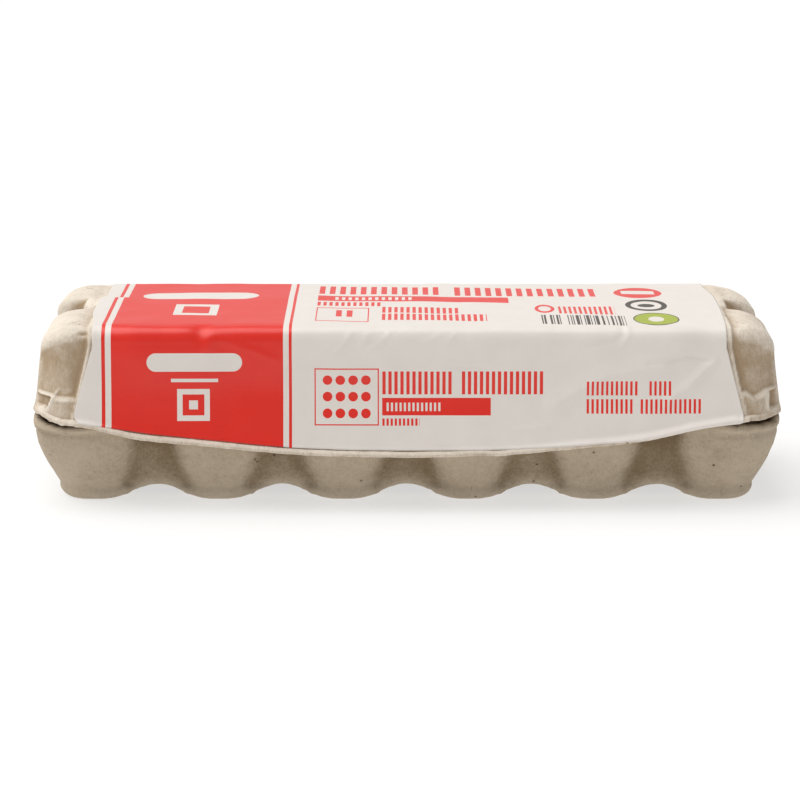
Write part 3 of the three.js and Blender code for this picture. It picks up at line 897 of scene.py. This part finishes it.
def printed_paper(name):
    """Coated label paper, offset printed: white with a little tooth, the ink slightly darker
    and smoother than the bare sheet, and a soft gloss at flat angles."""
    material = bpy.data.materials.new(name)
    material.use_nodes = True
    tree = material.node_tree
    tree.nodes.clear()
    flat = add_node(tree, "ShaderNodeUVMap", {"uv_map": "print"}, {})
    split = add_node(tree, "ShaderNodeSeparateXYZ", {}, {"Vector": flat.outputs[0]})
    along = split.outputs[0]
    up = split.outputs[1]

    def field(u0, u1, w0, w1, height=up):
        """A box in the flat print, from u0 to u1 along and from w0 to w1 up it."""
        inside_u = add_node(tree, "ShaderNodeMath", {"operation": "COMPARE"}, {
            0: along, 1: (u0 + u1) / 2, 2: abs(u1 - u0) / 2,
        })
        inside_w = add_node(tree, "ShaderNodeMath", {"operation": "COMPARE"}, {
            0: height, 1: (w0 + w1) / 2, 2: abs(w1 - w0) / 2,
        })
        return add_node(tree, "ShaderNodeMath", {"operation": "MULTIPLY"}, {
            0: inside_u.outputs[0], 1: inside_w.outputs[0],
        }).outputs[0]

    # The print on the top is skewed a little: it runs down to the right.
    skewed = add_node(tree, "ShaderNodeMath", {"operation": "MULTIPLY_ADD"}, {
        0: along, 1: 0.055, 2: up,
    }).outputs[0]

    def top_field(u0, u1, y0, y1):
        """A box on the top, by its depth there."""
        return field(u0, u1, top_w(y0), top_w(y1), skewed)

    def oval(u, w, half_u, half_w):
        scaled = add_node(tree, "ShaderNodeMapping", {}, {
            "Vector": flat.outputs[0], "Location": (-u / half_u, -w / half_w, 0),
            "Scale": (1 / half_u, 1 / half_w, 1),
        })
        reach = add_node(tree, "ShaderNodeVectorMath", {"operation": "LENGTH"}, {
            0: scaled.outputs[0],
        })
        return add_node(tree, "ShaderNodeMath", {"operation": "LESS_THAN"}, {
            0: reach.outputs["Value"], 1: 1.0,
        }).outputs[0]

    def disc(u, w, radius):
        return oval(u, w, radius, radius)

    def tally(mask, start, pitch, share):
        """Breaks a field up into upright bars, which stand for a line of print."""
        turn = add_node(tree, "ShaderNodeMath", {"operation": "MULTIPLY_ADD"}, {
            0: along, 1: 1 / pitch, 2: 100 - start / pitch,
        })
        turn = add_node(tree, "ShaderNodeMath", {"operation": "FRACT"}, {0: turn.outputs[0]})
        bar = add_node(tree, "ShaderNodeMath", {"operation": "COMPARE"}, {
            0: turn.outputs[0], 1: 0.5 * share, 2: 0.5 * share,
        })
        return add_node(tree, "ShaderNodeMath", {"operation": "MULTIPLY"}, {
            0: mask, 1: bar.outputs[0],
        }).outputs[0]

    def bars(u0, u1, w0, w1, pitch, share):
        return tally(field(u0, u1, w0, w1), u0, pitch, share)

    def top_bars(u0, u1, y0, y1, pitch, share):
        return tally(top_field(u0, u1, y0, y1), u0, pitch, share)

    def joined(masks):
        total = masks[0]
        for mask in masks[1:]:
            total = add_node(tree, "ShaderNodeMath", {"operation": "MAXIMUM"}, {
                0: total, 1: mask,
            }).outputs[0]
        return total

    def without(mask, hole):
        return add_node(tree, "ShaderNodeMath", {"operation": "SUBTRACT", "use_clamp": True}, {
            0: mask, 1: hole,
        }).outputs[0]

    # The red field and its stripes step sideways at one height on the top.
    jog_w = top_w(11)
    print_start = 10
    print_end = 260
    lower = (print_start, jog_w)
    upper = (jog_w, print_end)
    red = [
        field(-119.2, -49.7, *lower), field(-117.4, -49.7, *upper),
        field(-123.1, -121.6, *lower), field(-121.3, -119.8, *upper),
        field(-47.4, -46.2, print_start, print_end),
    ]
    # On the front: an outlined box, and bars and a strip beside it and further right.
    red += [
        without(field(-37.1, -11.1, 35.8, 58.8), field(-36.6, -11.6, 36.3, 58.3)),
        bars(-9.7, 18.4, 48.2, 57.6, 2.42, 0.55),
        bars(22.4, 55.4, 48.2, 57.6, 2.42, 0.55),
        without(field(-9.8, 34.1, 39.8, 46.8), bars(-8.0, 14.6, 41.5, 44.9, 1.74, 0.5)),
        bars(-9.7, 5.4, 35.7, 38.6, 1.66, 0.55),
        bars(72.8, 94.2, 47.8, 53.6, 1.95, 0.5),
        bars(98.1, 107.2, 47.8, 53.6, 1.95, 0.5),
        bars(72.8, 91.5, 40.5, 46.3, 1.95, 0.5),
        bars(94.6, 119.0, 40.5, 46.3, 1.95, 0.5),
    ]
    # On the top: the same again larger, with a ring, and a disc with a bare field.
    red += [
        top_bars(-37.1, 13.9, 17.2, 36.8, 4.4, 0.55),
        top_bars(20.5, 80.2, 16.4, 36.8, 4.4, 0.55),
        without(top_field(-37.3, 42.9, 1.2, 13), top_bars(-30, 3.4, 4, 10.4, 2.8, 0.5)),
        top_bars(-37.2, -10.6, -9.4, -1.2, 2.5, 0.55),
        without(top_field(-37.2, -15.4, -41.5, -13.2), top_field(-36.7, -15.9, -40.3, -14.4)),
        top_field(-29, -26.6, -31, -18),
        top_field(-24.6, -22.2, -31, -18),
        top_bars(-10.0, 21.7, -22.6, -10.6, 2.5, 0.55),
        top_bars(-10.0, 32.9, -37.4, -24.4, 2.5, 0.55),
        without(oval(57.3, top_w(-13.8), 4.1, 9), oval(57.3, top_w(-13.8), 2.6, 5.6)),
        top_bars(63, 86.2, -21, -5, 2.1, 0.5),
        without(oval(98.5, top_w(21.5), 10.2, 12.5), top_field(91.5, 105.5, 24, 32)),
    ]
    # Twelve dots in the box on the front, one for each egg.
    for row in range(3):
        for column in range(4):
            red.append(disc(-31.85 + 5.17 * column, 40.6 + 6.7 * row, 1.95))
    red = joined(red)
    # Bare fields in the red one: a rounded bar and a square in a square, twice.
    bare = joined([
        field(-101, -70, 57.5, 65), disc(-101, 61.25, 3.75), disc(-70, 61.25, 3.75),
        field(-95, -76, 53.2, 54.6),
        without(field(-92.6, -79.4, 37.6, 50.4), field(-90.4, -81.6, 39.8, 48.2)),
        field(-87.8, -84.2, 42.2, 45.8),
        field(-104, -70, top_w(7), top_w(22)),
        disc(-104, top_w(14.5), 7.5), disc(-70, top_w(14.5), 7.5),
        without(field(-96, -78, top_w(-27), top_w(-5)),
                field(-92.5, -81.5, top_w(-23), top_w(-9))),
    ])
    red = without(red, bare)

    # Stripes in place of a stripe code, each 0.42 mm slot dark or bare by chance.
    stripes = add_node(tree, "ShaderNodeTexWhiteNoise", {"noise_dimensions": "1D"}, {
        "W": add_node(tree, "ShaderNodeMath", {"operation": "SNAP"}, {
            0: along, 1: 0.42,
        }).outputs[0],
    })
    stripes = add_node(tree, "ShaderNodeMath", {"operation": "GREATER_THAN"}, {
        0: stripes.outputs["Value"], 1: 0.52,
    })
    stripes = add_node(tree, "ShaderNodeMath", {"operation": "MULTIPLY"}, {
        0: top_field(55.3, 89.3, -41.5, -23.8), 1: stripes.outputs[0],
    })
    # A ring round a dot in dark grey, and a green disc with a dark rim.
    dark = joined([
        stripes.outputs[0],
        without(oval(100, top_w(-6.4), 8.7, 12.4), oval(100, top_w(-6.4), 6.4, 8.6)),
        oval(100, top_w(-6.4), 3.6, 3.6),
        without(oval(102, top_w(-34.5), 9.4, 11.6), oval(102, top_w(-34.5), 8.9, 10.6)),
    ])
    green = without(oval(102, top_w(-34.5), 8.9, 10.6), oval(102, top_w(-34.5), 3.2, 4.6))

    # The print map is in millimetres, so clouds of 9 mm tint the sheet and the ink.
    clouds = add_node(tree, "ShaderNodeTexNoise", {}, {
        "Vector": flat.outputs[0], "Scale": 1 / 9.0, "Detail": 3, "Roughness": 0.6,
    })
    colour = add_node(tree, "ShaderNodeMix", {"data_type": "RGBA"}, {
        "Factor": clouds.outputs["Fac"], 6: linear("#ece5de"), 7: linear("#e5ddd4"),
    })
    red_ink = add_node(tree, "ShaderNodeMix", {"data_type": "RGBA"}, {
        "Factor": clouds.outputs["Fac"], 6: linear("#eb2c1c"), 7: linear("#e42718"),
    })
    for mask, ink in ((red, red_ink.outputs[2]), (dark, linear("#4c443c")),
                      (green, linear("#a8b53c"))):
        colour = add_node(tree, "ShaderNodeMix", {"data_type": "RGBA"}, {
            "Factor": mask, 6: colour.outputs[2], 7: ink,
        })

    # The tooth is 0.05 mm deep, and 1.6 mm from crest to crest so that it shows.
    fibres = add_node(tree, "ShaderNodeTexNoise", {}, {
        "Vector": flat.outputs[0], "Scale": 1 / 1.6, "Detail": 3, "Roughness": 0.6,
    })
    bump = add_node(tree, "ShaderNodeBump", {}, {
        "Height": fibres.outputs["Fac"], "Distance": 0.05 * MM, "Strength": 0.5,
    })
    shine = add_node(tree, "ShaderNodeMapRange", {}, {
        "Value": red, "To Min": 0.46, "To Max": 0.36,
    })
    surface = add_node(tree, "ShaderNodeBsdfPrincipled", {}, {
        "Base Color": colour.outputs[2], "Roughness": shine.outputs[0], "IOR": 1.5,
        "Normal": bump.outputs[0],
    })
    add_node(tree, "ShaderNodeOutputMaterial", {}, {"Surface": surface.outputs[0]})
    return material


label_mesh.materials.append(printed_paper("coated_paper_printed"))
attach(label, "root")
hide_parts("label")


# ---- Floor and light ------------------------------------------------------------------------
# A light table: a sheet of opal acrylic lit from within, so that shadows stay faint. A large
# soft lamp hangs above it to the left, and a lit panel stands behind, in an even white room.

FLOOR_HALF = 6.0  # these sizes are in metres
PANEL_Y = 1.7

floor_mesh = bpy.data.meshes.new("floor")
bm = bmesh.new()
bmesh.ops.create_grid(bm, x_segments=1, y_segments=1, size=FLOOR_HALF)
bm.to_mesh(floor_mesh)
bm.free()
floor = bpy.data.objects.new("floor", floor_mesh)
scene.collection.objects.link(floor)
floor_material = bpy.data.materials.new("opal_acrylic_lit")
floor_material.use_nodes = True
floor_surface = floor_material.node_tree.nodes["Principled BSDF"]
floor_surface.inputs["Base Color"].default_value = linear("#a6a5a3")
floor_surface.inputs["Roughness"].default_value = 0.9
floor_surface.inputs["Specular IOR Level"].default_value = 0.1
floor_surface.inputs["Emission Color"].default_value = linear("#ffffff")
floor_surface.inputs["Emission Strength"].default_value = 0.6
floor_mesh.materials.append(floor_material)

room = bpy.data.worlds.new("white_room")
room.use_nodes = True
room.node_tree.nodes["Background"].inputs["Color"].default_value = linear("#fdfcfb")
room.node_tree.nodes["Background"].inputs["Strength"].default_value = 0.34
scene.world = room

sun_data = bpy.data.lights.new("lamp_above", "SUN")
sun_data.energy = 2.84
sun_data.angle = math.radians(68)
sun = bpy.data.objects.new("lamp_above", sun_data)
scene.collection.objects.link(sun)
sun.rotation_euler = Vector((-0.5, 0.04, 1.0)).to_track_quat("Z", "Y").to_euler()

panel_data = bpy.data.lights.new("panel_behind", "AREA")
panel_data.shape = "RECTANGLE"
panel_data.size = 2.4
panel_data.size_y = 0.9
panel_data.energy = 2.4
panel = bpy.data.objects.new("panel_behind", panel_data)
scene.collection.objects.link(panel)
panel.location = (0, PANEL_Y, 0.55)
panel.rotation_euler = Vector((0, PANEL_Y, 0.5)).to_track_quat("Z", "Y").to_euler()

scene.view_settings.view_transform = "Standard"
